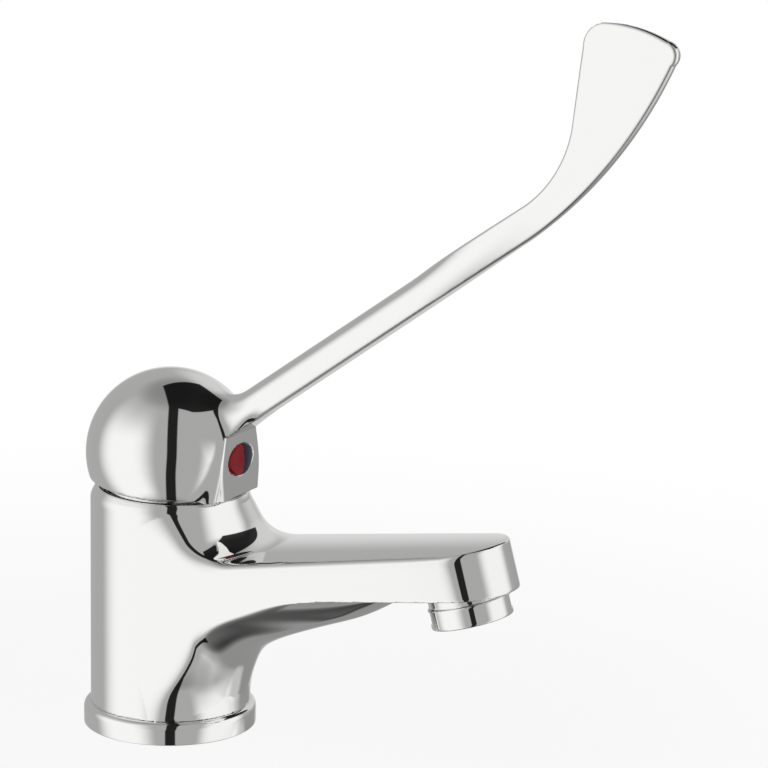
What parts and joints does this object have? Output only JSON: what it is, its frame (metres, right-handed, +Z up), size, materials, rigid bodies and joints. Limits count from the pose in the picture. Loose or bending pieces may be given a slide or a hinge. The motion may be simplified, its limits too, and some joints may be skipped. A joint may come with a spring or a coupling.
{
  "type": "hospital mixer tap",
  "caption": "Basin mixer tap with a long elbow lever ending in an upright paddle, a ceramic disc cartridge, a short spout with aerator and a two-colour index plug.",
  "frame": {"origin": "axis of the column at the top of the basin, under the base seal", "axes": "+X along the spout and the lever, +Z up, +Y to the cold side"},
  "size_m": [0.1812, 0.051, 0.218],
  "materials": {
    "chrome_plate": "polished chrome plate on cast brass",
    "bare_brass": "turned, unplated",
    "steel": "stainless, fine ground",
    "black_rubber": "smooth moulded rubber",
    "white_plastic": "moulded acetal",
    "grey_plastic": "glass filled plastic",
    "ceramic": "lapped alumina",
    "red_plastic": "glossy moulded",
    "blue_plastic": "glossy moulded"
  },
  "bodies": {
    "tap_body": {"body_casting": "chrome_plate", "base_ring": "chrome_plate", "base_seal": "black_rubber", "aerator_shell": "chrome_plate", "aerator_insert": "white_plastic", "aerator_screen": "steel", "aerator_washer": "black_rubber", "cartridge_nut": "bare_brass", "cover_ring": "chrome_plate", "cartridge_housing": "grey_plastic", "cartridge_base": "grey_plastic", "inlet_seal_hot": "black_rubber", "inlet_seal_cold": "black_rubber", "fixed_disc": "ceramic"},
    "turning_guide": {"spindle_guide": "white_plastic", "pivot_pin": "steel"},
    "lever": {"lever_handle": "chrome_plate", "spindle": "steel", "grub_screw": "steel", "index_plug_red": "red_plastic", "index_plug_blue": "blue_plastic"},
    "disc": {"moving_disc": "ceramic", "disc_carrier": "white_plastic"}
  },
  "joints": [
    {"name": "handle_turn", "type": "hinge", "parent": "tap_body", "child": "turning_guide", "pos_m": [0, 0, 0.062], "axis": [0, 0, 1], "range_deg": [-50, 50]},
    {"name": "handle_lift", "type": "hinge", "parent": "turning_guide", "child": "lever", "pos_m": [0, 0, 0.062], "axis": [0, -1, 0], "range_deg": [0, 18]},
    {"name": "disc_slide", "type": "slide", "parent": "turning_guide", "child": "disc", "axis": [1, 0, 0], "range_m": [0, 0.00185]}
  ],
  "couplings": [
    {"joint": "disc_slide", "follows": "handle_lift", "m_per_rad": 0.0058}
  ]
}
